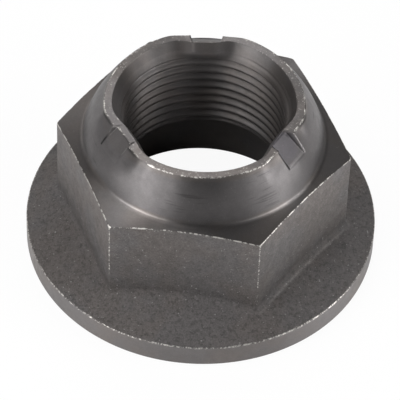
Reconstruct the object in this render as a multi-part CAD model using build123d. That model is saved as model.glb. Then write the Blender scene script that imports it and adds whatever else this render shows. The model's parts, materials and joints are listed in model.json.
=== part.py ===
"""A flanged wheel bearing nut: one forged and turned piece of steel, M24 x 1.5, 36 mm across flats.

From the bottom up it has a round bearing flange with a conical top, a hexagon for the
socket, and a thin convex locking collar. Three crimps push the collar's rim inwards, so
that the thread drags on the stub axle and the nut can't shake loose.
Lengths are in millimetres. +Z is the nut's axis, the bearing face lies at z = 0, and two
of the hexagon's flats face +Y and -Y.
"""

from build123d import *

import os
from math import cos, hypot, radians, sqrt, tan

# Flange
FLANGE_DIAMETER = 49.8
FLANGE_EDGE_HEIGHT = 3.5
FLANGE_SLOPE = 20.0
FLANGE_EDGE_ROUND = 0.35
HEX_ROOT_FILLET = 1.6

# Hexagon for the socket, its corners' height taken from the bearing face
HEX_SIDES = 6
ACROSS_FLATS = 36.0
HEX_CORNER_HEIGHT = 18.7
HEX_EDGE_ROUND = 0.4
HEX_CHAMFER_SLOPE = 17.2

# Locking collar: a zone of a ball centred on the axis, which leans in to a thin rim
COLLAR_HEIGHT = 6.4
COLLAR_ROOT_DIAMETER = 33.8
COLLAR_ROOT_FILLET = 0.9
RIM_OUTER_DIAMETER = 27.6
RIM_WALL = 1.05
RIM_EDGE_ROUND = 0.15

# Bore: thread, the long lead-in cone from the rim down to it and the counterbore below it
THREAD_DIAMETER = 24.0
THREAD_PITCH = 1.5
THREAD_DEPTH_PER_PITCH = 0.54127
RIM_LEAD_IN_SLOPE = 60.0
COUNTERBORE_DIAMETER = 31.0
COUNTERBORE_DEPTH = 6.8
COUNTERBORE_ROOF_SLOPE = 45.0
BOTTOM_CHAMFER = 0.4

# Crimps: a flat-nosed punch strikes the rim aslant and dents the wall around it
CRIMP_COUNT = 3
FIRST_CRIMP_ANGLE = 98.0
PUNCH_WIDTH = 4.1
PUNCH_LENGTH = 2.6
PUNCH_PUSH = 1.25
DENT_PUSH = 0.7
ROUND_BELOW_DENT = 2.0
INNER_PUSH = 1.05
INNER_LEAN = 22.0

# Sizes that follow from the ones above
FLAT_ANGLE = 180 / HEX_SIDES
HEX_CORNER_RADIUS = ACROSS_FLATS / 2 / cos(radians(FLAT_ANGLE))
FLANGE_RADIUS = FLANGE_DIAMETER / 2
COLLAR_ROOT_RADIUS = COLLAR_ROOT_DIAMETER / 2
RIM_OUTER_RADIUS = RIM_OUTER_DIAMETER / 2
RIM_INNER_RADIUS = RIM_OUTER_RADIUS - RIM_WALL
COUNTERBORE_RADIUS = COUNTERBORE_DIAMETER / 2
THREAD_MINOR_RADIUS = THREAD_DIAMETER / 2 - THREAD_DEPTH_PER_PITCH * THREAD_PITCH
CHAMFER_RISE = (HEX_CORNER_RADIUS - COLLAR_ROOT_RADIUS) * tan(radians(HEX_CHAMFER_SLOPE))
COLLAR_ROOT_HEIGHT = HEX_CORNER_HEIGHT + CHAMFER_RISE
TOTAL_HEIGHT = COLLAR_ROOT_HEIGHT + COLLAR_HEIGHT
LEAD_IN_RISE = tan(radians(RIM_LEAD_IN_SLOPE))
THREAD_TOP = TOTAL_HEIGHT - (RIM_INNER_RADIUS - THREAD_MINOR_RADIUS) * LEAD_IN_RISE
DENT_LENGTH = COLLAR_HEIGHT - ROUND_BELOW_DENT


def polyline(*points):
    """The straight edges that join the given (radius, height) points in turn."""
    return [Line(start, end) for start, end in zip(points, points[1:])]


def rounded(section, point, radius):
    """The half section with its corner at a (radius, height) point rounded off."""
    corner = section.vertices().sort_by_distance(Vector(*point))[0]
    return fillet(corner, radius)


def turned(section):
    """A solid of revolution about the nut's axis, from its half section.

    Its seam is turned to the middle of a flat, clear of the hexagon's corners.
    """
    return revolve(Plane.XZ * section, Axis.Z, 360).rotate(Axis.Z, FLAT_ANGLE)


def flange():
    """The bearing flange: a disc whose top falls away from the axis as a flat cone."""
    edge = (FLANGE_RADIUS, FLANGE_EDGE_HEIGHT)
    cone_rise = FLANGE_RADIUS * tan(radians(FLANGE_SLOPE))
    outline = polyline(
        (0, 0),
        (FLANGE_RADIUS - BOTTOM_CHAMFER, 0),
        (FLANGE_RADIUS, BOTTOM_CHAMFER),
        edge,
        (0, FLANGE_EDGE_HEIGHT + cone_rise),
        (0, 0),
    )
    return turned(rounded(make_face(outline), edge, FLANGE_EDGE_ROUND))


def collar_radius(height):
    """The collar's outer radius at a height, on the ball through its root and its rim."""
    ball_below_rim = (
        COLLAR_ROOT_RADIUS**2 - RIM_OUTER_RADIUS**2 + COLLAR_HEIGHT**2
    ) / (2 * COLLAR_HEIGHT)
    ball_radius = hypot(RIM_OUTER_RADIUS, ball_below_rim)
    ball_height = TOTAL_HEIGHT - ball_below_rim
    return sqrt(ball_radius**2 - (height - ball_height) ** 2)


def turned_top():
    """What the lathe leaves above the flange: the hexagon's top cone and the convex collar."""
    root = (COLLAR_ROOT_RADIUS, COLLAR_ROOT_HEIGHT)
    middle_height = (COLLAR_ROOT_HEIGHT + TOTAL_HEIGHT) / 2
    middle = (collar_radius(middle_height), middle_height)
    rim = (RIM_OUTER_RADIUS, TOTAL_HEIGHT)
    side = ThreePointArc(root, middle, rim)
    outline = polyline(
        rim,
        (0, TOTAL_HEIGHT),
        (0, 0),
        (HEX_CORNER_RADIUS, 0),
        (HEX_CORNER_RADIUS, HEX_CORNER_HEIGHT),
        root,
    )
    section = rounded(make_face([side, *outline]), root, COLLAR_ROOT_FILLET)
    return turned(rounded(section, rim, RIM_EDGE_ROUND))


def hexagon():
    """The hexagonal shank with the collar on it; the top cone cuts each flat along a hyperbola."""
    outline = RegularPolygon(ACROSS_FLATS / 2, HEX_SIDES, major_radius=False)
    outline = fillet(outline.vertices(), HEX_EDGE_ROUND)
    return extrude(outline, TOTAL_HEIGHT) & turned_top()


def bore():
    """Everything that is open along the axis, as one turned solid to cut away."""
    roof_rise = (COUNTERBORE_RADIUS - THREAD_MINOR_RADIUS) * tan(radians(COUNTERBORE_ROOF_SLOPE))
    outline = polyline(
        (0, 0),
        (COUNTERBORE_RADIUS + BOTTOM_CHAMFER, 0),
        (COUNTERBORE_RADIUS, BOTTOM_CHAMFER),
        (COUNTERBORE_RADIUS, COUNTERBORE_DEPTH),
        (THREAD_MINOR_RADIUS, COUNTERBORE_DEPTH + roof_rise),
        (THREAD_MINOR_RADIUS, THREAD_TOP),
        (RIM_INNER_RADIUS, TOTAL_HEIGHT),
        (0, TOTAL_HEIGHT),
        (0, 0),
    )
    return turned(make_face(outline))


def forging():
    """The hexagon on its flange, with the forged fillet where its flats run into the flange."""
    base = flange()
    shank = hexagon()
    joined = base + shank
    roots = new_edges(base, shank, combined=joined)
    return fillet(roots, HEX_ROOT_FILLET)


def flat_on_collar(angle, push, length, width):
    """What a struck flat takes off the collar: it is push deep at the rim and runs out length below."""
    rim_distance = RIM_OUTER_RADIUS - push
    run_out = TOTAL_HEIGHT - length
    outside = collar_radius(run_out)
    above = TOTAL_HEIGHT + length
    profile = polyline(
        (rim_distance, TOTAL_HEIGHT),
        (outside, run_out),
        (outside, above),
        (rim_distance, above),
        (rim_distance, TOTAL_HEIGHT),
    )
    block = extrude(Plane.XZ * make_face(profile), width / 2, both=True)
    return block.rotate(Axis.Z, angle)


def inner_bulge(angle):
    """The wall that a crimp pushes into the bore.

    Its upper flat face is the lead-in moved inwards, down to where the thread's grooves start.
    The lower one leans back from there until it meets the wall again.
    """
    mid_wall = RIM_OUTER_RADIUS - RIM_WALL / 2
    rim_distance = RIM_INNER_RADIUS - INNER_PUSH
    knee_distance = THREAD_DIAMETER / 2 - INNER_PUSH
    knee_height = TOTAL_HEIGHT - (rim_distance - knee_distance) * LEAD_IN_RISE
    foot_distance = knee_distance + (knee_height - THREAD_TOP) * tan(radians(INNER_LEAN))
    profile = polyline(
        (rim_distance, TOTAL_HEIGHT),
        (mid_wall, TOTAL_HEIGHT),
        (mid_wall, THREAD_TOP),
        (foot_distance, THREAD_TOP),
        (knee_distance, knee_height),
        (rim_distance, TOTAL_HEIGHT),
    )
    block = extrude(Plane.XZ * make_face(profile), mid_wall, both=True)
    disc = Pos(0, 0, THREAD_TOP) * extrude(Circle(mid_wall), TOTAL_HEIGHT - THREAD_TOP)
    return (block & disc).rotate(Axis.Z, angle)


def crimped(blank):
    """The finished nut, with its crimps spaced evenly around the rim."""
    nut = blank
    for turn in range(CRIMP_COUNT):
        angle = FIRST_CRIMP_ANGLE + turn * 360 / CRIMP_COUNT
        nut = nut + inner_bulge(angle)
        nut = nut - flat_on_collar(angle, DENT_PUSH, DENT_LENGTH, COLLAR_ROOT_DIAMETER)
        nut = nut - flat_on_collar(angle, PUNCH_PUSH, PUNCH_LENGTH, PUNCH_WIDTH)
    return nut


os.makedirs("parts", exist_ok=True)
nut_body = crimped(forging() - bore())
export_step(nut_body, "parts/nut_body.step")
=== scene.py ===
# %% [markdown]
# # A flanged wheel bearing nut
#
# The real nut is one forging. A press gives it the round flange and the hexagon, a lathe
# turns the cone on top and the thin collar, a tap cuts the thread, and a punch crimps the
# collar in three places, so that the rim grips the axle. Last it gets a dark phosphate coat.
#
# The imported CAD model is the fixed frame. It already has the sizes, so this lesson reads
# them from there and models one finer skin over it, with the thread that CAD leaves out.

# %% Load the fixed frame
import json
import math

import bmesh
import bpy
import numpy as np
from mathutils import Matrix, Vector, noise


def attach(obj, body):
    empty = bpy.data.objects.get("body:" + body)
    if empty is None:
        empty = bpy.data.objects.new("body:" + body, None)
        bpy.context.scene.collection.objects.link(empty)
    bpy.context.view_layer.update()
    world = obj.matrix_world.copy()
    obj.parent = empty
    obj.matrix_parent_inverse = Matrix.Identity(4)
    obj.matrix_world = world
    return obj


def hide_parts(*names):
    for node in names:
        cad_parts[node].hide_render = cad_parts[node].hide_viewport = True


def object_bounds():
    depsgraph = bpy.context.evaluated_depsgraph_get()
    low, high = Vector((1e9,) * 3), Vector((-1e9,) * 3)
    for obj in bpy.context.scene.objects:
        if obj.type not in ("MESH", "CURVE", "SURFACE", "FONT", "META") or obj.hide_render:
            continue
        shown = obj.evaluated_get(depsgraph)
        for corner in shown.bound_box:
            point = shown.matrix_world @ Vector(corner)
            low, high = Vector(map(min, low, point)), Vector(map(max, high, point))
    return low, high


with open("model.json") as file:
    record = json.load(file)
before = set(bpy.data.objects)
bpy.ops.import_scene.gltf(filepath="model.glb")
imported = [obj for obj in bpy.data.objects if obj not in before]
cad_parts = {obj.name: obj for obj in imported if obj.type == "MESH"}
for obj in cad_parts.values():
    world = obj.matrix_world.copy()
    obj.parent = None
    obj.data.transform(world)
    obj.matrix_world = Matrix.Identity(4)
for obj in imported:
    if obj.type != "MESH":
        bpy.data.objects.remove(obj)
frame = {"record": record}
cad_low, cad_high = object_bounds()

print("CAD box, in metres:", tuple(cad_low), tuple(cad_high))

# %% [markdown]
# ## The leading sizes
#
# Modelling goes in millimetres here, because that is how a machinist thinks, and the mesh
# is scaled to metres at the very end. The sizes could be typed in again, but then the skin
# and the CAD model could drift apart. So the height and the flange come from the CAD box,
# and the flats and the bore from the record's mounts, where the socket and the axle fit.

# %% Sizes from the frame
MM = 0.001
mounts = {mount["name"]: mount for mount in frame["record"]["mounts"]}


def span(mount):
    """Lowest and highest height of a hole's wall, in mm."""
    middle = mount["pos_m"][2] / MM
    half = mount["dims"]["length_mm"] / 2
    return middle - half, middle + half


nut_height = cad_high.z / MM
flange_radius = cad_high.x / MM
flat_distance = abs(mounts["wrench_flat"]["pos_m"][1]) / MM
minor_radius = mounts["axle_thread"]["dims"]["r_mm"]
thread_low, thread_high = span(mounts["axle_thread"])
counterbore_radius = mounts["shoulder_recess"]["dims"]["r_mm"]
counterbore_roof = span(mounts["shoulder_recess"])[1]
print(f"height {nut_height:.2f}, flange radius {flange_radius:.2f}, flats at {flat_distance:.2f}")
print(f"thread bore {minor_radius:.3f} from {thread_low:.2f} to {thread_high:.2f}")

# %% [markdown]
# ## Columns around the axis
#
# The skin is a grid: columns run up the nut like the staves of a barrel, and rows run
# around it. Even columns would blur the hexagon's worn corners and the sharp sides of the
# crimps, so extra columns are slipped in just there. The seam, where the grid closes, is
# put at the front, where the thread's seam is hidden inside the bore.

# %% Angles of the columns
SEAM_ANGLE = -90.0
COLUMN_STEP = 1.25
CLOSEST = 0.25
# Each flat takes up this many degrees, and the corners lie between the flats
FLAT_TURN = 60.0
CORNER_ANGLES = [FLAT_TURN * corner for corner in range(6)]
# Extra columns on both sides of a corner, in degrees from it
CORNER_OFFSETS = [0.0, 0.25, 0.5, 0.72, 1.05, 1.6]
RIM_OUTER_RADIUS = 13.8
# Each crimp's angle in degrees, and half the width of the punch's mark in mm
CRIMPS = [(97.0, 2.3), (-24.4, 1.95), (-142.4, 2.05)]
# Extra columns along both sides of a mark, in mm from them
MARK_OFFSETS = [-0.25, -0.05, 0.05, 0.25]


def wrapped(angle):
    """The same angle between -180 and 180 degrees."""
    return (angle + 180.0) % 360.0 - 180.0


def mark_angle(half_width):
    """Half the angle that a punch mark takes up at the rim, in degrees."""
    return math.degrees(math.asin(half_width / RIM_OUTER_RADIUS))


def column_angles():
    """Angles in degrees from the seam once around, both ends included."""
    special = []
    for corner in CORNER_ANGLES:
        special += [corner + side * offset for offset in CORNER_OFFSETS for side in (-1, 1)]
    for centre, half_width in CRIMPS:
        offsets = [mark_angle(half_width + step) for step in MARK_OFFSETS]
        special += [centre + side * offset for offset in offsets for side in (-1, 1)]
    special = sorted({round((angle - SEAM_ANGLE) % 360.0, 3) for angle in special})
    even = np.arange(COLUMN_STEP, 360.0, COLUMN_STEP)
    gap = np.min(np.abs(even[:, None] - np.array(special)[None, :]), axis=1)
    inner = sorted(special + list(even[gap > CLOSEST]))
    return np.array([0.0] + inner + [360.0]) + SEAM_ANGLE


columns = column_angles()
print(len(columns), "columns")

# %% [markdown]
# ## The hexagon's outline
#
# Seen from above, the distance from the axis to a flat grows with the angle from the
# flat's middle, as 1 / cosine. A six-sided cylinder with bevelled edges would also do, but
# a formula gives the distance for just the columns of the grid. At the corners a small
# circle takes over: a forged corner is never perfectly sharp, and this tiny round is what
# catches the light.

# %% Distance from the axis to the hexagon
CORNER_ROUND = 0.45
HALF_FLAT_ANGLE = math.radians(FLAT_TURN / 2)


def hexagon_radius(angle):
    """Distance from the axis to the rounded hexagon at an angle in degrees."""
    off_flat = np.radians(angle % FLAT_TURN - FLAT_TURN / 2)
    off_corner = HALF_FLAT_ANGLE - np.abs(off_flat)
    flat = flat_distance / np.cos(off_flat)
    centre = (flat_distance - CORNER_ROUND) / math.cos(HALF_FLAT_ANGLE)
    lateral = CORNER_ROUND * math.sin(HALF_FLAT_ANGLE)
    reach = math.atan2(lateral, centre + CORNER_ROUND * math.cos(HALF_FLAT_ANGLE))
    near = np.minimum(off_corner, reach)
    rounded = centre * np.cos(near) + np.sqrt(CORNER_ROUND**2 - (centre * np.sin(near)) ** 2)
    return np.where(off_corner < reach, rounded, flat)


hexagon = hexagon_radius(columns)
print(f"hexagon from {hexagon.min():.2f} to {hexagon.max():.2f} mm from the axis")

# %% [markdown]
# ## The collar and its dents
#
# The lathe leaves the collar's side as a zone of a ball, which leans in towards the thin
# rim. A crimp does three things to it: the wall around it gives way as a soft dent, the
# punch leaves a flat mark with crisp sides, and inside the wall bulges towards the axis.
# One sculpted mesh could show all three. Here each is its own small function of angle and
# height, so each can be judged and tuned by itself. The dent comes first: a hill over the
# angles, taken off the ball.

# %% The collar's side with its soft dents
COLLAR_ROOT_RADIUS = 16.9
COLLAR_ROOT_HEIGHT = 19.9
DENT_DEPTH = 0.6
DENT_SPREAD = 18.5
DENT_FLATNESS = 5.0
DENT_FOOT = 21.9

collar_rise = nut_height - COLLAR_ROOT_HEIGHT
ball_drop = (COLLAR_ROOT_RADIUS**2 - RIM_OUTER_RADIUS**2 + collar_rise**2) / (2 * collar_rise)
ball_radius = math.hypot(RIM_OUTER_RADIUS, ball_drop)
ball_height = nut_height - ball_drop


def smooth(value, low, high):
    """0 below low, 1 above high, and an S-curve between them."""
    share = np.clip((value - low) / (high - low), 0.0, 1.0)
    return share * share * (3.0 - 2.0 * share)


def hill(centre, spread, flatness):
    """1 around an angle and 0 far from it, for every column: more flatness, steeper sides."""
    return np.exp(-((np.abs(wrapped(columns - centre)) / spread) ** flatness))


def hills(centres, spread, flatness):
    """The same hill around each of some angles."""
    return sum(hill(centre, spread, flatness) for centre in centres)


dented = hills([angle for angle, half_width in CRIMPS], DENT_SPREAD, DENT_FLATNESS)


def dented_radius(height):
    """The collar's outer radius at one height, for every column."""
    ball = math.sqrt(ball_radius**2 - (height - ball_height) ** 2)
    return ball - DENT_DEPTH * dented * smooth(height, DENT_FOOT, nut_height)


print(f"the collar's side lies on a ball of radius {ball_radius:.2f} mm")

# %% [markdown]
# ## The punch marks
#
# The punch presses a flat into the curved wall, deepest at the rim, and stops with a small
# step below. Cutting it with a block and a boolean would leave slivers on a dense mesh.
# Instead the columns inside a mark stop at the flat's slanted plane, and the columns beside
# it are drawn in as the radius grows, so that the mark's sides run parallel.

# %% The collar's side with the punch marks
# Each flat's distance from the axis at the rim, and how fast it comes outwards below it
MARK_FLATS = [(12.0, 1.22), (12.0, 1.22), (12.6, 1.15)]
MARK_FOOT = 23.75
# How much lower the rim is inside a mark
MARK_DROP = 0.12
# Columns are drawn in fully up to the first of these angles from a mark, and none past the last
DRAWN_FULLY = 10.0
DRAWN_LAST = 30.0


def near_mark(centre, half_width):
    """True for the columns that lie inside a punch mark."""
    return np.abs(wrapped(columns - centre)) < mark_angle(half_width)


def drawn_in(centre, radius, height):
    """How far the columns near a mark turn towards it at one height, in degrees."""
    off = wrapped(columns - centre)
    near = np.abs(off) < DRAWN_LAST
    sideways = RIM_OUTER_RADIUS * np.sin(np.radians(np.where(near, off, 0.0)))
    parallel = np.degrees(np.arcsin(sideways / radius))
    share = 1.0 - smooth(np.abs(off), DRAWN_FULLY, DRAWN_LAST)
    share = share * smooth(height, DENT_FOOT, MARK_FOOT)
    return np.where(near, (parallel - off) * share, 0.0)


def collar_point(height):
    """Radius and angle of the collar's side at one height, with the punch marks."""
    radius = dented_radius(height)
    angle = columns.copy()
    drop = nut_height - MARK_DROP - height
    for (centre, half_width), (rim_distance, slope) in zip(CRIMPS, MARK_FLATS):
        angle = angle + drawn_in(centre, radius, height)
        if height > MARK_FOOT:
            flat = (rim_distance + drop * slope) / np.cos(np.radians(wrapped(angle - centre)))
            struck = near_mark(centre, half_width)
            radius = np.where(struck, np.minimum(radius, flat), radius)
    return radius, angle


pressed = dented_radius(nut_height) - collar_point(nut_height - MARK_DROP)[0]
print(f"the deepest mark is pressed {pressed.max():.2f} mm into the rim")

# %% [markdown]
# ## Finishes
#
# Forged skin is dull and lets little metal through its coat, while what the lathe turned
# has a thin coat and the sheen of steel. Each could be a material of its own, but then the
# borders between them would be hard lines. So one material covers the whole nut, and every
# point carries numbers for it, looked up in this small table.

# %% The finishes
# How much each is turned, how metallic it is, and how pale
FINISHES = {
    "forged": (0.0, 0.02, 0.082),
    "cone": (1.0, 0.78, 0.070),
    "collar": (1.0, 0.88, 0.108),
    "rim": (1.0, 0.85, 0.140),
    "bore": (1.0, 0.58, 0.098),
    "side": (1.0, 0.55, 0.116),
}
print(len(FINISHES), "finishes:", ", ".join(FINISHES))

# %% [markdown]
# ## Stations
#
# Cut the nut in half, walk once around the outline of the cut, and every corner of it is a
# station. Where two surfaces meet, a plain corner would look cut from paper. A bevel of the
# whole mesh would round every edge alike, so each station says for itself how round it is,
# how worn, and what the run up to the next station looks like.

# %% A helper for stations
# What a station has unless it says otherwise
PLAIN_STATION = {
    "angle": columns,  # where its points stand around the axis, in degrees
    "setback": 0.0,  # how far from the corner its curve starts and ends, in mm
    "steps": 0,  # faces along that curve
    "nick": 0.0,  # how deep the curve is nicked, in mm
    "worn": 0.0,  # how rubbed the curve is: at 1 it is bright steel
    "start_tone": 1.0,  # how much paler the curve starts than the run before it ends
    "fade": 1.0,  # below 1, that first tone lasts longer over the curve
    # a glint is a painted highlight
    "glint": 0.0,  # how much paler a line along the curve is
    "glint_at": 0.5,  # where that line lies, as a share of the curve
    "finish": "bore",  # the finish of the run after it
    "rows": 0,  # even rows on that run
    "run_worn": 0.0,  # how rubbed that run is
    "run_tone": (1.0, 1.0),  # how pale that run is at its start and at its end
}
stations = []


def station(radius, height, **details):
    """Add a corner of the half section, with its radius and height in each column."""
    made = {**PLAIN_STATION, **details}
    made["place"] = np.array(np.broadcast_arrays(radius, height, columns)[:2], dtype=float)
    made["finish"] = np.array(FINISHES[made["finish"]])
    stations.append(made)


print("a station has", len(PLAIN_STATION), "details")

# %% [markdown]
# ## From stations to rows
#
# The curve around a corner is pulled towards the corner's point, and leaves along one
# surface and arrives along the other. Even rows fill the run up to the next curve. Blender
# blends the normals of all faces that meet at a point, which would make a flat face look
# swollen, so a guard row close to each curve keeps the shading flat.

# %% From stations to rows
TINY = 1e-9
# How far a guard row is from a curve in mm, and at most, as a share of the run
GUARD = 0.15
LARGEST_GUARD = 0.3
# How wide a glint is, as a share of its curve
GLINT_WIDTH = 0.10
rows = []


def towards(start, end):
    """Unit steps from one place of the section to another."""
    step = end - start
    return step / np.maximum(np.hypot(*step), TINY)


def curve_points(number):
    """Where the curve around a station starts, the point that pulls it, and where it ends."""
    here = stations[number]
    before = stations[number - 1]["place"]
    after = stations[(number + 1) % len(stations)]["place"]
    back = towards(here["place"], before)
    ahead = towards(here["place"], after)
    start = here["place"] + back * here["setback"]
    end = here["place"] + ahead * here["setback"]
    pull = here["place"] + towards(here["place"] * 0.0, back + ahead) * here["nick"]
    return start, pull, end


def add_row(place, angle, worn, finish, paler):
    """One ring of points, with the numbers for the material."""
    turned, metal, tone = finish
    rows.append(np.broadcast_arrays(place[0], place[1], angle, worn, turned, metal, tone * paler))


def lay_curve(before, here, start, pull, end):
    """The rows of the curve around a station."""
    first_tone = before["run_tone"][1] * here["start_tone"]
    last_tone = here["run_tone"][0]
    for share in np.linspace(0.0, 1.0, here["steps"] + 1):
        near, far = (1.0 - share) ** 2, share**2
        place = near * start + 2.0 * share * (1.0 - share) * pull + far * end
        finish = before["finish"] + (here["finish"] - before["finish"]) * share
        paler = last_tone + (first_tone - last_tone) * (1.0 - share) ** here["fade"]
        off_line = (share - here["glint_at"]) / GLINT_WIDTH
        paler = paler + here["glint"] * math.exp(-(off_line**2))
        add_row(place, here["angle"], here["worn"], finish, paler)


def lay_run(here, start, end):
    """The even rows between two curves."""
    guard = np.minimum(GUARD / np.maximum(np.hypot(*(end - start)), TINY), LARGEST_GUARD)
    first_tone, last_tone = here["run_tone"]
    for share in np.linspace(0.0, 1.0, here["rows"]):
        place = start + (end - start) * (guard + (1.0 - 2.0 * guard) * share)
        paler = first_tone + (last_tone - first_tone) * share
        add_row(place, here["angle"], here["run_worn"], here["finish"], paler)


def lay_rows():
    """Lay the rows of every station, and of the run from it to the next one."""
    curves = [curve_points(number) for number in range(len(stations))]
    for number, here in enumerate(stations):
        lay_curve(stations[number - 1], here, *curves[number])
        lay_run(here, curves[number][2], curves[(number + 1) % len(stations)][0])


print("guard rows lie", GUARD, "mm from the curves")

# %% [markdown]
# ## Nicks and rubbed patches
#
# A nut that lay in a box with others has small nicks in its edges, and its coat is rubbed
# in some places more than in others. Painting that by hand takes long. Noise around a
# circle gives every edge its own small nicks and closes without a seam, and the patches
# that catch the eye are placed one by one, each as a hill around its angle.

# %% Helpers for nicks and rubbed patches
# How steep the sides of a patch are
SOFT = 2.0
STEEP = 6.0


def noise_around(seed, scale):
    """Smooth noise for every column: a larger scale gives shorter lumps."""
    turns = np.radians(columns)
    spots = [Vector((math.cos(turn) * scale, math.sin(turn) * scale, seed)) for turn in turns]
    return np.array([noise.noise(spot) for spot in spots])


def nicks(seed, scale, depth, share):
    """How deep an edge is nicked in each column, in mm: the noise, cut off below share."""
    return depth * np.maximum(noise_around(seed, scale) - share, 0.0) / (1.0 - share)


def wear(seed, scale, middle, swing):
    """How much an edge is rubbed in each column: a middle value with noise around it."""
    return middle + swing * noise_around(seed, scale)


def patchy(base, patches):
    """A value for every column: a base, and patches of amount, angle, spread and flatness."""
    for amount, centre, spread, flatness in patches:
        base = base + amount * hill(centre, spread, flatness)
    return base


sample = wear(seed=4.7, scale=9.0, middle=0.78, swing=0.15)
print(f"a sample of wear runs from {sample.min():.2f} to {sample.max():.2f}")

# %% [markdown]
# ## The flange
#
# The walk starts at the mouth of the bore underneath, runs out along the bearing face,
# around the bright outer edge and up the forged slope. The bearing face and the outer edge
# are turned, because the nut presses the bearing with them. A disc with a cone on it would
# give the same outline, but stations also carry the rubbed edge and its nicks.

# %% Stations of the flange
MOUTH_CHAMFER = 0.4
FLANGE_CHAMFER = 0.12
FLANGE_EDGE_HEIGHT = 3.5

# Painted light on the flange's side: paler overall, darker at the front and paler at the right
# front
side_painted_light = patchy(1.36, [(-0.18, -80.0, 35.0, STEEP), (0.16, -36.0, 20.0, STEEP)])
flange_wear = wear(seed=4.7, scale=9.0, middle=0.78, swing=0.15)
flange_wear = patchy(flange_wear, [(-0.06, -113.0, 22.0, SOFT)])
flange_nicks = nicks(seed=3.1, scale=14.0, depth=0.16, share=0.25)

station(
    counterbore_radius + MOUTH_CHAMFER, 0.0,
    setback=0.08, steps=1, worn=0.5, finish="side", rows=4,
)
station(
    flange_radius - FLANGE_CHAMFER, 0.0,
    setback=0.04, steps=2, worn=0.4, finish="side",
)
station(
    flange_radius, FLANGE_CHAMFER,
    setback=0.04, steps=2, worn=0.4, finish="side", rows=3, run_tone=(side_painted_light, side_painted_light),
)
station(
    flange_radius, FLANGE_EDGE_HEIGHT,
    setback=0.12, steps=3, worn=flange_wear, nick=flange_nicks, finish="forged", rows=9,
)
print(f"the flange's side is {FLANGE_EDGE_HEIGHT - FLANGE_CHAMFER:.2f} mm high")

# %% [markdown]
# ## The flats
#
# The forging die leaves a big soft curve between the slope and the flats. The slope is a
# cone, and the foot of each flat follows it, so it rises in the flat's middle. The socket
# rubs the flats' corners bright. Painted shade darkens each flat towards its foot and
# painted light makes it paler towards its top, less on the front flat and more on the
# right one, and a painted highlight runs along the right flat's foot. One run could cover
# a flat, but with a second station part of the way up the corners are brighter above it.

# %% Stations of the flats
FLANGE_SLOPE = math.tan(math.radians(20.0))
ROOT_SETBACK = 1.1
# The corners are rubbed brighter from this far above the root
UPPER_PART = 4.5
LOWER_WEAR_SHARE = 0.8
# How far the tone has risen there, from the foot's to the top's
MIDDLE_SHARE = 0.4
FRONT_FLAT = (-90.0, 30.0, STEEP)
RIGHT_FLAT = (-30.0, 27.0, STEEP)
CORNER_LINE = (0.55, 3.0)

root_height = FLANGE_EDGE_HEIGHT + (flange_radius - hexagon) * FLANGE_SLOPE
corner_wear = wear(seed=5.9, scale=30.0, middle=0.62, swing=0.3)
corner_wear = patchy(corner_wear, [(0.17, -120.0, 5.0, STEEP), (0.18, -60.0, 5.0, STEEP)])
corner_wear = corner_wear * hills(CORNER_ANGLES, *CORNER_LINE)
# Painted shade at the flats' feet and painted light at their tops, different for each flat
foot_light_and_shade = patchy(0.73, [(-0.02, *RIGHT_FLAT)])
flat_top_painted_light = patchy(1.40, [(-0.22, *FRONT_FLAT), (0.24, *RIGHT_FLAT)])
middle_tone = foot_light_and_shade + MIDDLE_SHARE * (flat_top_painted_light - foot_light_and_shade)
# Painted shade across the root's curve: the slope's tone lasts longer below the front flat
# and ends sooner below the right one
root_fade = patchy(1.0, [(-0.60, *FRONT_FLAT), (2.00, *RIGHT_FLAT)])
# A painted highlight along the foot of the right flat
flat_glint = patchy(0.0, [(0.60, *RIGHT_FLAT)])

station(
    hexagon, root_height,
    setback=ROOT_SETBACK, steps=12, fade=root_fade, glint=flat_glint, glint_at=0.22,
    finish="forged", rows=4, run_worn=corner_wear * LOWER_WEAR_SHARE,
    run_tone=(foot_light_and_shade, middle_tone),
)
station(
    hexagon, root_height + UPPER_PART,
    finish="forged", rows=6, run_worn=corner_wear, run_tone=(middle_tone, flat_top_painted_light),
)
print(f"the flats' feet lie from {root_height.min():.2f} to {root_height.max():.2f} mm high")

# %% [markdown]
# ## The turned cone
#
# The flats stop at a shallow cone that the lathe cut. Where a cone meets a flat, the edge
# is a hyperbola, lowest at the corners. A boolean with a cone gives the same edge, but the
# formula for the cone's height at each column does it by itself, with even faces.

# %% The shoulder between the flats and the cone
CORNER_HEIGHT = 18.7
CONE_SLOPE = math.tan(math.radians(17.2))
# The shoulder's corners are rubbed more, by this much
CORNER_TIPS = 0.3
corner_radius = flat_distance / math.cos(HALF_FLAT_ANGLE)

shoulder_height = CORNER_HEIGHT + (corner_radius - hexagon) * CONE_SLOPE
shoulder_nicks = nicks(seed=7.7, scale=16.0, depth=0.25, share=0.3)
shoulder_wear = wear(seed=8.3, scale=12.0, middle=0.83, swing=0.24)
shoulder_wear = shoulder_wear + wear(seed=8.7, scale=60.0, middle=0.0, swing=0.5)
shoulder_wear = shoulder_wear + CORNER_TIPS * hills(CORNER_ANGLES, 0.8, 4.0)
# Painted light on the cone: a highlight at the front left, and paler patches at the back
cone_painted_light = patchy(
    1.0, [(0.40, -126.0, 16.0, STEEP), (1.30, 56.0, 12.0, SOFT), (0.85, 160.0, 26.0, SOFT)]
)
# Painted shade at the front and painted highlights on both sides of it, where the cone ends
# at the collar's root
cone_foot_light_and_shade = patchy(
    1.0, [(-0.22, -92.0, 15.0, SOFT), (0.50, -113.0, 13.0, SOFT), (0.50, -46.0, 13.0, SOFT)]
)

station(
    hexagon, shoulder_height,
    setback=0.1, steps=3, worn=shoulder_wear, nick=shoulder_nicks,
    finish="cone", rows=5, run_tone=(cone_painted_light, cone_painted_light * cone_foot_light_and_shade),
)
print(f"the shoulder lies from {shoulder_height.min():.2f} to {shoulder_height.max():.2f} mm high")

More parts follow.
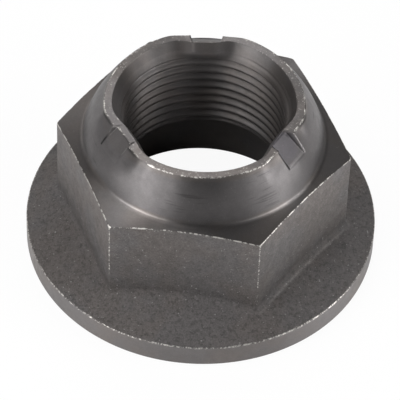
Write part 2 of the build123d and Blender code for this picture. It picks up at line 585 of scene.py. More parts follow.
# %% [markdown]
# ## How pale the collar is
#
# The collar's tones are painted light and shade: paler patches on its right and left
# sides and on both sides of its foot, darker at the front of its foot, the left punch mark
# paler, painted shadows in the creases along the marks and a painted highlight along the
# right mark's foot. That could be painted on an image, but the skin's points are close
# enough together to carry it: each row asks for its tones at its height.

# %% The collar's tones and its root
# The first row of the side is this far above the root
SIDE_START = 0.9
# Painted highlights on the collar's side, and painted light and shade at its foot
COLLAR_SIDE_PAINTED_LIGHT = [(0.80, 6.0, 24.0, STEEP), (0.30, -145.0, 25.0, STEEP)]
COLLAR_FOOT_LIGHT_AND_SHADE = [(0.42, -112.0, 9.0, SOFT), (0.42, -43.0, 9.0, SOFT), (-0.42, -82.0, 19.0, SOFT)]
# Each mark's painted light and its foot's, the sides with a painted shadow in the crease,
# and half the crease's width in degrees
MARK_LIGHT_AND_SHADE = [
    (1.00, 1.00, [1], 0.15),
    (0.95, 2.40, [-1, 1], 0.15),
    (1.45, 1.45, [-1], 0.6),
]
# Painted shadow in the creases
CREASE_PAINTED_SHADOW = 0.28
CREASE_INSET = 0.05
FOOT_LINE = 0.1


def collar_tones(height):
    """How pale the collar's painted light and shade make it at one height, for every column."""
    high_up = smooth(height, COLLAR_ROOT_HEIGHT + SIDE_START, MARK_FOOT)
    low_down = 1.0 - smooth(height, COLLAR_ROOT_HEIGHT, MARK_FOOT)
    tones = 1.0 + patchy(0.0, COLLAR_SIDE_PAINTED_LIGHT) * high_up
    tones = tones * (1.0 + patchy(0.0, COLLAR_FOOT_LIGHT_AND_SHADE) * low_down)
    if height < MARK_FOOT:
        return tones
    for (centre, half_width), (tone, foot_light_and_shade, sides, crease) in zip(CRIMPS, MARK_LIGHT_AND_SHADE):
        mark_tone = foot_light_and_shade if height < MARK_FOOT + FOOT_LINE else tone
        tones = np.where(near_mark(centre, half_width), mark_tone, tones)
        for side in sides:
            edge = centre + side * mark_angle(half_width - CREASE_INSET)
            tones = np.where(np.abs(wrapped(columns - edge)) < crease, CREASE_PAINTED_SHADOW, tones)
    return tones


# Painted highlights along the collar's root curve, left and right of the front
root_glint = patchy(0.0, [(1.05, -113.0, 13.0, 3.0), (0.80, -49.0, 15.0, 4.0)])
root_tones = collar_tones(COLLAR_ROOT_HEIGHT)
station(
    COLLAR_ROOT_RADIUS, COLLAR_ROOT_HEIGHT,
    setback=0.5, steps=6, fade=0.6, glint=root_glint, glint_at=0.7,
    finish="collar", run_tone=(root_tones, 1.0),
)
print(f"tones at the collar's foot: {root_tones.min():.2f} to {root_tones.max():.2f}")

# %% [markdown]
# ## The collar's side
#
# From its root the collar curves up to the thin rim. Even rows would smear the small step
# at the foot of the punch marks, so rows lie close together there. Beside the marks the
# rim's edge overhangs a little, and a painted shadow line under it is enough to show that.

# %% Stations of the collar's side
LOWER_STEP = 0.4
UPPER_STEP = 0.3
FOOT_OFFSETS = [-0.2, -0.03, 0.03, 0.25]
UPPER_START = 0.55
LAST_BELOW_RIM = 0.12
LIP_HEIGHT = 0.3
LIP_SHADE = 0.7

# Where the painted shadow under the rim's overhang lies
painted_lip_shadow = patchy(0.0, [(1.0, -159.0, 6.0, STEEP), (1.0, -129.5, 4.5, STEEP), (1.0, -4.0, 7.0, STEEP)])
side_heights = np.concatenate([
    np.arange(COLLAR_ROOT_HEIGHT + SIDE_START, MARK_FOOT - UPPER_STEP, LOWER_STEP),
    [MARK_FOOT + offset for offset in FOOT_OFFSETS],
    np.arange(MARK_FOOT + UPPER_START, nut_height - UPPER_STEP, UPPER_STEP),
    [nut_height - MARK_DROP - LAST_BELOW_RIM],
])
for side_height in side_heights:
    side_radius, side_angle = collar_point(side_height)
    tones = collar_tones(side_height)
    if side_height > nut_height - LIP_HEIGHT:
        tones = tones * (1.0 - LIP_SHADE * painted_lip_shadow)
    station(side_radius, side_height, finish="collar", angle=side_angle, start_tone=tones)
print(len(side_heights), "rows on the collar's side")

# %% [markdown]
# ## The inside of the collar
#
# A long cone leads the axle's thread into the nut. Where the collar is crimped, its wall
# bulges inwards across that cone, and this is what grips the axle. The bulges could be
# pushed in with a lattice, but a hill over the angles and an S-curve over the height say
# just how deep they are, and the thread can use the same function.

# %% The lead-in and its bulges
RIM_INNER_RADIUS = 12.75
LEAD_IN_RISE = math.tan(math.radians(60.0))
MAJOR_RADIUS = 12.0
# Where the wall bulges inwards, and how far around
BULGES = [(98.5, 14.0), (-20.5, 16.5), (-143.0, 16.5)]
BULGE_DEPTH = 1.05
BULGE_FLATNESS = 2.8
BULGE_BELOW_THREAD = 0.3

thread_end = nut_height - (RIM_INNER_RADIUS - MAJOR_RADIUS) * LEAD_IN_RISE
bulged = sum(hill(centre, spread, BULGE_FLATNESS) for centre, spread in BULGES)


def bulge(height):
    """How far the crimps push the wall towards the axis at a height, for every column."""
    return BULGE_DEPTH * bulged * smooth(height, thread_high - BULGE_BELOW_THREAD, thread_end)


def lead_in(height):
    """The radius of the cone that leads from the rim to the thread, at a height."""
    return minor_radius + np.maximum(height - thread_high, 0.0) / LEAD_IN_RISE


print(f"the cone reaches the thread's crests at {thread_high:.2f} mm")
print(f"and its roots at {thread_end:.2f} mm")

# %% [markdown]
# ## The rim
#
# The rim is a narrow flat ring that is rubbed pale, because everything that slides over the
# nut touches it. Inside each mark it lies a little lower. A bevel would leave its two edges
# alike, but only the outer one is nicked here, and rubbed brighter in a few patches.

# %% Stations of the rim and the lead-in
LEAD_IN_ROWS = 5
BELOW_RIM = 0.15
ABOVE_THREAD = 0.1
RIGHT_MARK = CRIMPS[1]
# The rim's edge is this much less rubbed inside the right mark
RIGHT_MARK_DULLED = 0.5

struck_columns = sum(near_mark(centre, half_width) for centre, half_width in CRIMPS)
rim_height = nut_height - MARK_DROP * struck_columns
rim_radius = collar_point(nut_height - MARK_DROP)[0]
rim_nicks = nicks(seed=11.3, scale=12.0, depth=0.14, share=0.2)
bright_patches = patchy(
    0.0, [(0.10, -119.0, 9.0, STEEP), (0.15, -53.0, 9.0, STEEP), (0.20, -9.0, 6.0, STEEP)]
)
rim_wear = wear(seed=12.1, scale=10.0, middle=0.72, swing=0.4)
rim_wear = rim_wear - RIGHT_MARK_DULLED * near_mark(*RIGHT_MARK) + bright_patches
# Painted shade on the rim, darker on the right and at the back left
rim_painted_shade = patchy(1.0, [(-0.36, 0.0, 55.0, STEEP), (-0.30, 140.0, 28.0, STEEP)])
# Painted light and shade in the bore: paler overall, darker on the right and at the back left
bore_light_and_shade = patchy(1.15, [(-0.42, 12.0, 36.0, STEEP), (-0.33, 150.0, 26.0, STEEP)])
# A painted highlight in one narrow streak at the back, and painted shade on the right
painted_streak = patchy(1.0, [(0.40, 106.0, 1.0, STEEP), (-0.30, 5.0, 24.0, STEEP)])

station(
    rim_radius, rim_height,
    setback=0.09, steps=3, worn=rim_wear, nick=rim_nicks,
    finish="rim", rows=3, run_worn=0.60, run_tone=(rim_painted_shade, rim_painted_shade),
)
station(lead_in(nut_height) - bulge(nut_height), nut_height, setback=0.07, steps=2, worn=0.6)
for cone_height in np.linspace(nut_height - BELOW_RIM, thread_end + ABOVE_THREAD, LEAD_IN_ROWS):
    wall = lead_in(cone_height) - bulge(cone_height)
    station(wall, cone_height, start_tone=bore_light_and_shade * painted_streak)
rim_wall = rim_radius - lead_in(nut_height) + bulge(nut_height)
print(f"the rim is {rim_wall.min():.2f} to {rim_wall.max():.2f} mm wide")

# %% [markdown]
# ## The thread
#
# A thread could be a helical sweep cut out with a boolean, but on a dense mesh that is
# slow and leaves ragged triangles. Here the bore's rows themselves climb like the helix:
# going once around, each row rises by one pitch and meets the row above it at the seam.
# The profile follows the standard 60 degree one, with crests at the minor radius, but its
# roots are soft and a little shallow, as in the photo. At the top the long cone of the
# lead-in cuts the crests away, which is why the first turns look shallow, and below a 45
# degree cone does the same. Rows past the ends are flattened onto the end ring, and the
# doubles are welded away later.

# %% Stations of the thread
PITCH = 1.5
THREAD_DEPTH = 0.541 * PITCH
# One groove's middle is at this angle and height
GROOVE_ANGLE = 96.7
GROOVE_HEIGHT = 20.33
# Places across one pitch, from a groove's middle, and how deep the groove is there
PROFILE = [
    (-0.5, 0.0), (-0.40, 0.02), (-0.32, 0.12), (-0.20, 0.48), (-0.09, 0.76), (0.0, 0.82),
    (0.09, 0.76), (0.20, 0.48), (0.32, 0.12), (0.40, 0.02),
]
RUN_OUT = 0.3
CREST_WEAR = 0.2
CREST_BAND = 0.01
# Painted light in the thread's grooves: they are this much paler at their deepest, which softens
# their shade
GROOVE_PAINTED_LIGHT = 0.2

bottom_radius = minor_radius + THREAD_DEPTH + RUN_OUT
thread_foot = thread_low - (bottom_radius - minor_radius)


def thread_rings():
    """Radii, heights and groove depths of the thread's rings, from the top down."""
    climb = GROOVE_HEIGHT + PITCH * (columns - GROOVE_ANGLE) / 360.0
    first = math.ceil((thread_end - climb.min()) / PITCH) + 1
    last = math.floor((thread_foot - climb.max()) / PITCH) - 1
    for groove in range(first, last, -1):
        for across, depth in reversed(PROFILE):
            height = np.clip(climb + PITCH * (groove + across), thread_foot, thread_end)
            cut = minor_radius + THREAD_DEPTH * depth
            lower = minor_radius + thread_low - height
            wall = np.maximum(cut, np.maximum(lead_in(height), lower)) - bulge(height)
            yield wall, height, depth


for ring_radius, ring_height, ring_depth in thread_rings():
    on_crest = ring_radius < minor_radius + CREST_BAND
    ring_tone = bore_light_and_shade * (1.0 + GROOVE_PAINTED_LIGHT * ring_depth)
    station(ring_radius, ring_height, worn=CREST_WEAR * on_crest, start_tone=ring_tone)
print(f"{(thread_end - thread_foot) / PITCH:.1f} turns of thread, with both run-outs")

# %% [markdown]
# ## Back to the mouth
#
# Below the thread the bore opens to a plain counterbore, which passes over the shoulder
# of the axle. Its last row meets the first one, and the skin is closed. Now that all
# stations are known, their rows can be laid.

# %% Stations of the counterbore
COUNTERBORE_STEP = 0.2

station(bottom_radius + COUNTERBORE_STEP, thread_foot - COUNTERBORE_STEP, rows=3)
station(counterbore_radius, counterbore_roof, setback=0.2, steps=2, rows=3)
station(counterbore_radius, MOUTH_CHAMFER, setback=0.08, steps=1, worn=0.4)

lay_rows()
print(len(stations), "stations and", len(rows), "rows")

# %% [markdown]
# ## Forged skin is not quite true
#
# Flats and flange from a die are a little wavy. A displacement modifier could do it after
# the mesh is made, but here the turned parts can be spared. A slow noise, a few hundredths
# of a millimetre high, bends the reflections just enough to look like forged steel. It
# mostly takes away, so that the skin stays inside the CAD box.

# %% Points of the skin, with the waviness of the forging
WAVE_LENGTH = 5.0
WAVE_HEIGHT = 0.05
WAVE_MIDDLE = 0.3
TURNED_WAVE_SHARE = 0.12

radius, height, degrees, worn, turned, metal, tone = (
    np.array(part, dtype=float) for part in zip(*rows)
)
angle = np.radians(degrees)
x, y = radius * np.cos(angle), radius * np.sin(angle)
spots = np.stack([x, y, height], axis=-1).reshape(-1, 3) / WAVE_LENGTH
wave = np.array([noise.noise(Vector(spot)) for spot in spots]).reshape(x.shape)
forged_zone = (radius > COLLAR_ROOT_RADIUS) & (height > FLANGE_EDGE_HEIGHT)
wave_share = np.where(turned > 0.5, TURNED_WAVE_SHARE, 1.0) * forged_zone
wavy = np.minimum(radius + WAVE_HEIGHT * (wave - WAVE_MIDDLE) * wave_share, flange_radius)
points = np.stack([wavy * np.cos(angle), wavy * np.sin(angle), height], axis=-1) * MM
print("grid of", points.shape[0], "rows and", points.shape[1], "columns")

# %% [markdown]
# ## From grid to mesh
#
# Four neighbours make a face, and the last row joins the first. Adding the faces one by
# one in Python would be slow, so their corner numbers are worked out all at once. The
# numbers for the material go along as attributes of the points.

# %% Build the mesh
def grid_faces(row_count, column_count):
    """Corner numbers of the grid's faces, the last row joined to the first."""
    row = np.arange(row_count)[:, None]
    column = np.arange(column_count - 1)[None, :]
    above = (row + 1) % row_count
    here = row * column_count + column
    there = above * column_count + column
    return np.stack([here, here + 1, there + 1, there], axis=-1).reshape(-1, 4)


mesh = bpy.data.meshes.new("nut_skin")
faces = grid_faces(points.shape[0], points.shape[1])
mesh.from_pydata(points.reshape(-1, 3).tolist(), [], faces.tolist())
for name, values in {"worn": worn, "turned": turned, "metal": metal, "tone": tone}.items():
    layer = mesh.attributes.new(name, "FLOAT", "POINT")
    layer.data.foreach_set("value", values.astype(np.float32).ravel())
print(len(faces), "faces before welding")

# %% [markdown]
# ## Weld and check the skin
#
# `remove_doubles` welds the seam and the flattened ends of the thread. What is left has to
# be one closed skin, and that is checked and not only hoped for: every edge has to belong
# to exactly two faces. Then the skin takes the place of the CAD model's node.

# %% Weld the skin and hand it over
WELD = 1e-7

shape = bmesh.new()
shape.from_mesh(mesh)
bmesh.ops.remove_doubles(shape, verts=shape.verts, dist=WELD)
bmesh.ops.recalc_face_normals(shape, faces=shape.faces)
open_edges = sum(1 for edge in shape.edges if len(edge.link_faces) != 2)
print("edges that aren't shared by two faces:", open_edges)
print("triangles:", sum(len(face.verts) - 2 for face in shape.faces))
print(f"volume: {shape.calc_volume() / MM**3:.0f} cubic mm")
shape.to_mesh(mesh)
shape.free()

nut = bpy.data.objects.new("nut_skin", mesh)
bpy.context.scene.collection.objects.link(nut)
mesh.shade_smooth()
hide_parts("nut_body")
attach(nut, "root")

# %% [markdown]
# ## The finish
#
# Phosphated steel is a dark grey metal with a fine crystal bloom. It looks alive because
# nothing on it is even: the grey drifts in patches, single crystals glint, and the coat
# is rubbed through on the edges. Image textures could show that, but noise in the shader
# needs no file and no unwrapping and stays sharp close up. A few helpers keep the nodes
# readable.

# %% Helpers for shader nodes
def open_tree(owner):
    """Empty a node tree, and let the helpers below build in it."""
    global nodes, links
    owner.use_nodes = True
    nodes = owner.node_tree.nodes
    links = owner.node_tree.links
    nodes.clear()


def plug(socket, value):
    """Link a socket to another one, or set its own value."""
    if isinstance(value, bpy.types.NodeSocket):
        links.new(value, socket)
    else:
        socket.default_value = value


def node(kind, inputs=None, **settings):
    """A new node with its settings made and its inputs set or linked."""
    made = nodes.new(kind)
    for name, value in settings.items():
        setattr(made, name, value)
    for name, value in (inputs or {}).items():
        plug(made.inputs[name], value)
    return made


def ramp(value, low, high, start=0.0, end=1.0):
    """A value mapped from low..high to start..end, held at both ends."""
    inputs = {"Value": value, "From Min": low, "From Max": high, "To Min": start, "To Max": end}
    return node("ShaderNodeMapRange", inputs, interpolation_type="SMOOTHSTEP").outputs["Result"]


def maths(operation, first, second):
    """One step of arithmetic between two values."""
    return node("ShaderNodeMath", {0: first, 1: second}, operation=operation).outputs["Value"]


def vector_maths(operation, *inputs):
    """One step of arithmetic between places or directions."""
    return node("ShaderNodeVectorMath", dict(enumerate(inputs)), operation=operation).outputs


def between(share, first, second):
    """Two values mixed by a share of the second."""
    return node("ShaderNodeMix", {0: share, 2: first, 3: second}).outputs[0]


def blend(share, first, second):
    """Two colours mixed by a share of the second."""
    return node("ShaderNodeMix", {0: share, 6: first, 7: second}, data_type="RGBA").outputs[2]


def attribute(name):
    """One of the numbers that the rows carry."""
    return node("ShaderNodeAttribute", attribute_name=name).outputs["Fac"]


steel = bpy.data.materials.new("phosphated_steel")
open_tree(steel)
mesh.materials.append(steel)
print("an empty material, ready for its nodes")

# %% [markdown]
# ## Places on the nut
#
# The shader has to know where on the nut it is: how high, how far from the axis and in
# what direction. These come from the object's own coordinates, so the pattern is fixed to
# the steel and turns with it. The camera's coordinates would let it slide.

# %% Places on the nut
place = node("ShaderNodeTexCoord").outputs["Object"]
level = node("ShaderNodeSeparateXYZ", {"Vector": place}).outputs["Z"]
from_axis = vector_maths("MULTIPLY", place, (1.0, 1.0, 0.0))["Vector"]
distance = vector_maths("LENGTH", from_axis)["Value"]
circle = vector_maths("NORMALIZE", from_axis)["Vector"]
direction = node("ShaderNodeSeparateXYZ", {"Vector": circle}).outputs
turned_share = attribute("turned")


def cloud(size, detail=3.0, roughness=0.6):
    """Noise whose lumps are about size mm across."""
    inputs = {"Vector": place, "Scale": 1.0 / (size * MM), "Detail": detail, "Roughness": roughness}
    return node("ShaderNodeTexNoise", inputs).outputs["Fac"]


print(len(nodes), "shader nodes so far")

# %% [markdown]
# ## Marks of the lathe
#
# The cutting tool leaves fine rings on everything that was turned, and the collar's side
# has some longer scratches besides. Perfect rings would look drawn with a compass. Noise
# that changes fast across the lines and slowly along them gives lines that start and end
# somewhere, as real ones do. A second, slow noise keeps the scratches in patches.

# %% Rings and scratches
# The lines lie across a direction that leans between the axis and the radius
LINE_LEAN = 0.5
COLLAR_DISTANCE = 14.0
COLLAR_LEVEL = 20.4
COLLAR_FADE = 0.4
# A noise's low and high value, and what they are mapped to if not 0 and 1
SCRATCHED_PATCHES = (0.46, 0.62)
SCRATCH_RAMP = (0.62, 0.80, 0.0, 0.28)


def lathe_lines(turns, width, detail=2.0):
    """Noise drawn out around the axis: more turns give shorter lines, and width is in mm."""
    line_place = {
        "X": maths("MULTIPLY", direction["X"], turns),
        "Y": maths("MULTIPLY", direction["Y"], turns),
        "Z": maths("DIVIDE", across_lines, width * MM),
    }
    line_place = node("ShaderNodeCombineXYZ", line_place).outputs["Vector"]
    inputs = {"Vector": line_place, "Scale": 1.0, "Detail": detail}
    return node("ShaderNodeTexNoise", inputs).outputs["Fac"]


def past(value, start):
    """0 below a length in mm, and 1 a little above it."""
    return ramp(value, start * MM, (start + COLLAR_FADE) * MM)


across_lines = maths("SUBTRACT", level, maths("MULTIPLY", distance, LINE_LEAN))
rings = lathe_lines(turns=3.0, width=0.16)
on_collar = maths("MULTIPLY", past(distance, COLLAR_DISTANCE), past(level, COLLAR_LEVEL))
scratched = ramp(cloud(size=5.0, detail=0.0), *SCRATCHED_PATCHES)
scratched = maths("MULTIPLY", on_collar, scratched)
scratches = ramp(lathe_lines(turns=4.5, width=0.26, detail=0.0), *SCRATCH_RAMP)
scratches = maths("MULTIPLY", scratches, scratched)
print(len(nodes), "shader nodes so far")

# %% [markdown]
# ## How pale the coat is
#
# Close up the coat is grainy, and on the flange it is leathery, as the scale on hot steel
# leaves it. On turned surfaces all this is fainter. Each of these is a noise of its own
# size, mapped to a narrow range around 1, and their product scales the tone of the rows.

# %% Shade of the coat
GRAIN_RAMP = (0.25, 0.75, 0.80, 1.20)
MOTTLE_RAMP = (0.30, 0.70, 0.92, 1.08)
LEATHER_RAMP = (0.36, 0.50, 0.77, 1.04)
# The leather is full up to the first height, and has this share from the second one on
LEATHER_LOW = 6.0
LEATHER_HIGH = 9.0
LEATHER_HIGH_SHARE = 0.45
# Turned surfaces show this much of the unevenness
CALM_SHARE = 0.28

grain = cloud(size=0.22)
mottle = cloud(size=1.1)
uneven = maths("MULTIPLY", ramp(grain, *GRAIN_RAMP), ramp(mottle, *MOTTLE_RAMP))
leather = ramp(cloud(size=0.50), *LEATHER_RAMP)
leather_share = ramp(level, LEATHER_LOW * MM, LEATHER_HIGH * MM, 1.0, LEATHER_HIGH_SHARE)
forged_shade = maths("MULTIPLY", uneven, between(leather_share, 1.0, leather))
turned_shade = maths("ADD", maths("MULTIPLY", uneven, CALM_SHARE), 1.0 - CALM_SHARE)
turned_shade = maths("MULTIPLY", turned_shade, maths("SUBTRACT", 1.0, scratches))
shade = between(turned_share, forged_shade, turned_shade)
# The rows' tone holds painted light and shade besides the coat's own paleness
strength = maths("MULTIPLY", attribute("tone"), shade)
print(len(nodes), "shader nodes so far")

# %% [markdown]
# ## The colour of the coat
#
# The grey is warm here and neutral there, a little cooler on the collar, and faintly
# violet on the right punch mark. One grey would look like paint. So tints drift into each
# other before the strength scales them, and single crystals of the coat show as pale
# specks.

# %% Colour of the coat
WARM_COAT = (1.105, 1.00, 0.955, 1.0)
NEUTRAL_COAT = (1.065, 1.00, 0.990, 1.0)
COLLAR_COAT = (1.065, 1.006, 1.012, 1.0)
STRUCK_COAT = (1.060, 0.998, 1.065, 1.0)
CRYSTAL = (0.28, 0.275, 0.27, 1.0)
FORGED_CRYSTALS = 0.58
TURNED_CRYSTALS = 0.13
DRIFT_RAMP = (0.38, 0.62)
SPECK_RAMP = (0.712, 0.745)
# The middle of the right punch mark, and how far its violet reaches, all in mm
MARK_MIDDLE_RADIUS = 12.8
MARK_MIDDLE_HEIGHT = 25.216
VIOLET_FULL = 1.7
VIOLET_END = 2.6

turn = math.radians(RIGHT_MARK[0])
mark_middle = Vector((
    MARK_MIDDLE_RADIUS * math.cos(turn), MARK_MIDDLE_RADIUS * math.sin(turn), MARK_MIDDLE_HEIGHT
)) * MM
to_mark = vector_maths("DISTANCE", place, mark_middle)["Value"]
violet = ramp(to_mark, VIOLET_FULL * MM, VIOLET_END * MM, 1.0, 0.0)
drift = ramp(cloud(size=7.0, detail=2.0), *DRIFT_RAMP)
tint = blend(drift, WARM_COAT, NEUTRAL_COAT)
tint = blend(on_collar, tint, COLLAR_COAT)
tint = blend(violet, tint, STRUCK_COAT)
coat = node("ShaderNodeVectorMath", {0: tint, "Scale": strength}, operation="SCALE")
specks = ramp(cloud(size=0.33, detail=1.0), *SPECK_RAMP)
speck_share = ramp(turned_share, 0.0, 1.0, FORGED_CRYSTALS, TURNED_CRYSTALS)
coat = blend(maths("MULTIPLY", specks, speck_share), coat.outputs["Vector"], CRYSTAL)
print(len(nodes), "shader nodes so far")

# %% [markdown]
# ## Worn edges
#
# On the edges the coat is rubbed through, down to bright steel. The `worn` number of the
# rows says where an edge is. By itself it would give a clean line, like a drawn outline,
# so noise is added before the sharp step, and the bright line becomes ragged.

# %% Worn edges
BARE_STEEL = (0.51, 0.49, 0.46, 1.0)
RAGGEDNESS = 1.3
WEAR_STARTS = 0.70
WEAR_FULL = 0.95

ragged = maths("SUBTRACT", cloud(size=0.32, roughness=0.7), 0.5)
rubbed = maths("ADD", attribute("worn"), maths("MULTIPLY", ragged, RAGGEDNESS))
bare = ramp(rubbed, WEAR_STARTS, WEAR_FULL)
colour = blend(bare, coat, BARE_STEEL)
print(len(nodes), "shader nodes so far")

# %% [markdown]
# ## Grain, rings and gloss
#
# Pits and rings this fine would take millions of faces, so they are a bump, while all that
# changes an outline is real mesh. Turned steel mirrors a lamp as a streak across its fine
# rings, and an anisotropic gloss with a tangent around the axis does the same.

# %% Relief and gloss
FORGED_ROUGHNESS = 0.5
TURNED_ROUGHNESS = 0.40
BARE_ROUGHNESS = 0.32
BARE_METAL = 0.8
MOTTLED_GLOSS = (0.30, 0.70, 0.04, -0.04)
PIT_RAMP = (0.30, 0.42)
RELIEF_HEIGHT = 0.05
GRAIN_SHARE = 0.5
PIT_SHARE = 0.4
RING_SHARE = 0.5
TURNED_GRAIN_SHARE = 0.1


def added(first, first_share, second, second_share):
    """The sum of two reliefs, each by its share."""
    first = maths("MULTIPLY", first, first_share)
    return maths("ADD", first, maths("MULTIPLY", second, second_share))


pits = ramp(cloud(size=0.7, detail=2.0), *PIT_RAMP)
forged_relief = added(grain, GRAIN_SHARE, pits, PIT_SHARE)
turned_relief = added(rings, RING_SHARE, grain, TURNED_GRAIN_SHARE)
relief = between(turned_share, forged_relief, turned_relief)
bump = node("ShaderNodeBump", {"Height": relief, "Strength": 0.30, "Distance": RELIEF_HEIGHT * MM})
roughness = ramp(turned_share, 0.0, 1.0, FORGED_ROUGHNESS, TURNED_ROUGHNESS)
roughness = maths("ADD", roughness, ramp(mottle, *MOTTLED_GLOSS))
skin = node("ShaderNodeBsdfPrincipled", {
    "Base Color": colour,
    "Metallic": between(bare, attribute("metal"), BARE_METAL),
    "Roughness": between(bare, roughness, BARE_ROUGHNESS),
    "Specular IOR Level": 0.1,
    "Anisotropic": 0.75,
    "Anisotropic Rotation": 0.25,
    "Tangent": node("ShaderNodeTangent", direction_type="RADIAL", axis="Z").outputs["Tangent"],
    "Normal": bump.outputs["Normal"],
})
node("ShaderNodeOutputMaterial", {"Surface": skin.outputs["BSDF"]})
print(len(nodes), "shader nodes in all")

# %% [markdown]
# ## The floor
#
# The nut stands on paper that runs out of the picture on all sides. Blender's own plane
# could be added and scaled, but a mesh of four points and one face says just where it
# lies.

# %% The floor's mesh
FLOOR_SIZE = 4.0
# The floor is this far below the bearing face, in metres, so that the two don't flicker
FLOOR_GAP = 0.00002

half = FLOOR_SIZE / 2
floor_height = cad_low.z - FLOOR_GAP
corners = [(-half, -half), (half, -half), (half, half), (-half, half)]
floor_mesh = bpy.data.meshes.new("floor")
floor_mesh.from_pydata([(x, y, floor_height) for x, y in corners], [], [(0, 1, 2, 3)])
floor = bpy.data.objects.new("floor", floor_mesh)
bpy.context.scene.collection.objects.link(floor)
print(f"floor {FLOOR_SIZE:.0f} m wide")

# %% [markdown]
# ## White paper
#
# Paper lit by lamps alone is never an even white, and more light would bleach the nut. So
# most of its white is a steady glow that only the camera and reflections see, and the rest
# is real paper, which keeps the nut's soft shadow. Seen through the bore the paper lies in
# the nut's shade, so it isn't mirrored there.

# %% White paper
PAPER = (0.9, 0.9, 0.9, 1.0)
WHITE = (1.0, 1.0, 1.0, 1.0)
# How much of the white is a steady glow, to the camera and in reflections
SEEN_SHARE = 0.94
MIRRORED_SHARE = 0.8
HOLE_FADE = 1.5


def reflections(ray):
    """1 for rays that show what the nut mirrors or lets through."""
    return maths("MAXIMUM", ray["Is Glossy Ray"], ray["Is Transmission Ray"])


white_paper = bpy.data.materials.new("white_paper")
open_tree(white_paper)
paper_ray = node("ShaderNodeLightPath").outputs
paper_place = node("ShaderNodeTexCoord").outputs["Object"]
paper_distance = vector_maths("LENGTH", paper_place)["Value"]
beside = ramp(paper_distance, counterbore_radius * MM, (counterbore_radius + HOLE_FADE) * MM)
mirrored = maths("MULTIPLY", maths("MULTIPLY", reflections(paper_ray), beside), MIRRORED_SHARE)
seen = maths("MULTIPLY", paper_ray["Is Camera Ray"], SEEN_SHARE)
paper = node("ShaderNodeBsdfDiffuse", {"Color": PAPER}).outputs["BSDF"]
glow = node("ShaderNodeEmission", {"Color": WHITE, "Strength": 1.0}).outputs["Emission"]
glow_share = maths("MAXIMUM", seen, mirrored)
ground = node("ShaderNodeMixShader", {0: glow_share, 1: paper, 2: glow}).outputs["Shader"]
node("ShaderNodeOutputMaterial", {"Surface": ground})
floor_mesh.materials.append(white_paper)
print(len(nodes), "shader nodes in the paper")

# %% [markdown]
# ## The room behind
#
# In a studio the paper sweeps up behind the object, so there is no horizon. A curved sheet
# could be modelled, but the world does it for every camera: the camera sees white all
# around, and reflections see a white band that fades out a little above the floor, so that
# the nut keeps its dark sides.

# %% The world
# How high the white band reaches, as the sine of its elevation
SWEEP = 0.08

world = bpy.data.worlds.new("white_sweep")
bpy.context.scene.world = world
open_tree(world)
sky_ray = node("ShaderNodeLightPath").outputs
upwards_view = node("ShaderNodeTexCoord").outputs["Generated"]
above_floor = node("ShaderNodeSeparateXYZ", {"Vector": upwards_view}).outputs["Z"]
band = ramp(above_floor, 0.0, SWEEP, MIRRORED_SHARE, 0.0)
sky_seen = maths("MAXIMUM", sky_ray["Is Camera Ray"], maths("MULTIPLY", reflections(sky_ray), band))
sky = node("ShaderNodeBackground", {"Color": WHITE, "Strength": sky_seen}).outputs["Background"]
node("ShaderNodeOutputWorld", {"Surface": sky})
print(len(nodes), "shader nodes in the world")

# %% [markdown]
# ## The softboxes
#
# Dark metal shows what is around it, so where the softboxes stand matters more than how
# bright they are: each gives one long, soft reflection. A dome of even light would make
# the nut flat. Low lamps light the flats, and high ones the collar and the cone.

# %% Softboxes
# Azimuth from the camera's side, turning left; elevation; power in watts
SOFTBOXES = {
    "left_low_front": (40.0, 8.0, 1.51),
    "left_low": (60.0, 8.0, 1.57),
    "left_high_front": (45.0, 50.0, 0.83),
    "left_high": (90.0, 50.0, 0.55),
    "left_top": (90.0, 72.0, 0.75),
    "back_left": (135.0, 8.0, 0.45),
    "back_high": (180.0, 50.0, 1.09),
    "right": (280.0, 28.0, 1.61),
    "right_low": (280.0, 8.0, 0.91),
    "right_low_front": (300.0, 8.0, 0.96),
    "right_front": (320.0, 28.0, 0.34),
}
SOFTBOX_SIZE = 0.35
SOFTBOX_DISTANCE = 0.6
# The camera stands this many degrees off the front flat's middle
CAMERA_TURN = 6.7058
nut_middle = Vector((0.0, 0.0, nut_height / 2 * MM))


def softbox(name, azimuth, elevation, power):
    """A square area light that looks at the nut."""
    lamp = bpy.data.lights.new(name, "AREA")
    lamp.shape = "SQUARE"
    lamp.size = SOFTBOX_SIZE
    lamp.energy = power
    turn = math.radians(azimuth - CAMERA_TURN)
    tilt = math.radians(elevation)
    level_part = math.cos(tilt)
    away = Vector((-math.sin(turn) * level_part, -math.cos(turn) * level_part, math.sin(tilt)))
    holder = bpy.data.objects.new(name, lamp)
    holder.location = nut_middle + away * SOFTBOX_DISTANCE
    holder.rotation_euler = (-away).to_track_quat("-Z", "Y").to_euler()
    bpy.context.scene.collection.objects.link(holder)


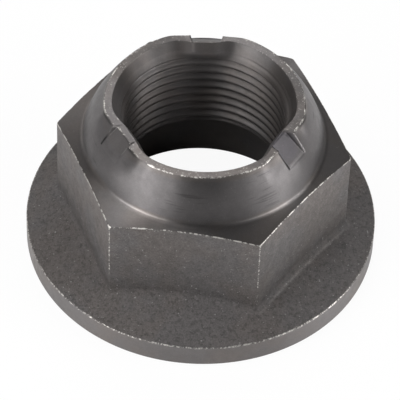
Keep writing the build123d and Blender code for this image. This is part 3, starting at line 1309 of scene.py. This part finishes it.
for name, (azimuth, elevation, power) in SOFTBOXES.items():
    softbox(name, azimuth, elevation, power)
total_power = sum(power for azimuth, elevation, power in SOFTBOXES.values())
print(len(SOFTBOXES), "softboxes with", round(total_power, 2), "watts in all")

# %% [markdown]
# ## The camera
#
# The photo was taken with a long lens, about 48 degrees above the table. Moving a camera
# by eye until it fits takes long and never quite fits. This one was solved from the
# hexagon's corners and the rim's ellipses, which gives its place, its aim, its lens and a
# roll of two degrees.

# %% Camera
CAMERA_DISTANCE = 440.55
CAMERA_ELEVATION = 48.23
CAMERA_ROLL = 2.03
AIM_SIDEWAYS = -0.181
AIM_HEIGHT = 6.310
FOCAL_PIXELS = 3096.0
PHOTO_PIXELS = 400.0
SENSOR = 36.0
NEAREST = 0.01
FARTHEST = 20.0


def turned_point(x, y, z):
    """A point given in mm from the camera's side, turned to the nut's frame, in metres."""
    turn = math.radians(CAMERA_TURN)
    return Vector((
        x * math.cos(turn) - y * math.sin(turn),
        x * math.sin(turn) + y * math.cos(turn),
        z,
    )) * MM


rise = math.radians(CAMERA_ELEVATION)
back_off = CAMERA_DISTANCE * math.cos(rise)
eye = turned_point(0.0, -back_off, AIM_HEIGHT + CAMERA_DISTANCE * math.sin(rise))
aim = turned_point(AIM_SIDEWAYS, 0.0, AIM_HEIGHT)
forward = (aim - eye).normalized()
sideways = forward.cross(Vector((0.0, 0.0, 1.0))).normalized()
upwards = sideways.cross(forward)
roll = math.radians(CAMERA_ROLL)
right = sideways * math.cos(roll) + upwards * math.sin(roll)
up = upwards * math.cos(roll) - sideways * math.sin(roll)
pose = Matrix((right, up, -forward)).transposed().to_4x4()
pose.translation = eye

lens = bpy.data.cameras.new("camera")
lens.sensor_width = SENSOR
lens.lens = FOCAL_PIXELS / PHOTO_PIXELS * SENSOR
lens.clip_start = NEAREST
lens.clip_end = FARTHEST
camera = bpy.data.objects.new("camera", lens)
camera.matrix_world = pose
bpy.context.scene.collection.objects.link(camera)
bpy.context.scene.camera = camera
bpy.context.scene.view_settings.view_transform = "Standard"
print(f"a lens of {lens.lens:.0f} mm, {(aim - eye).length:.3f} m from the nut")
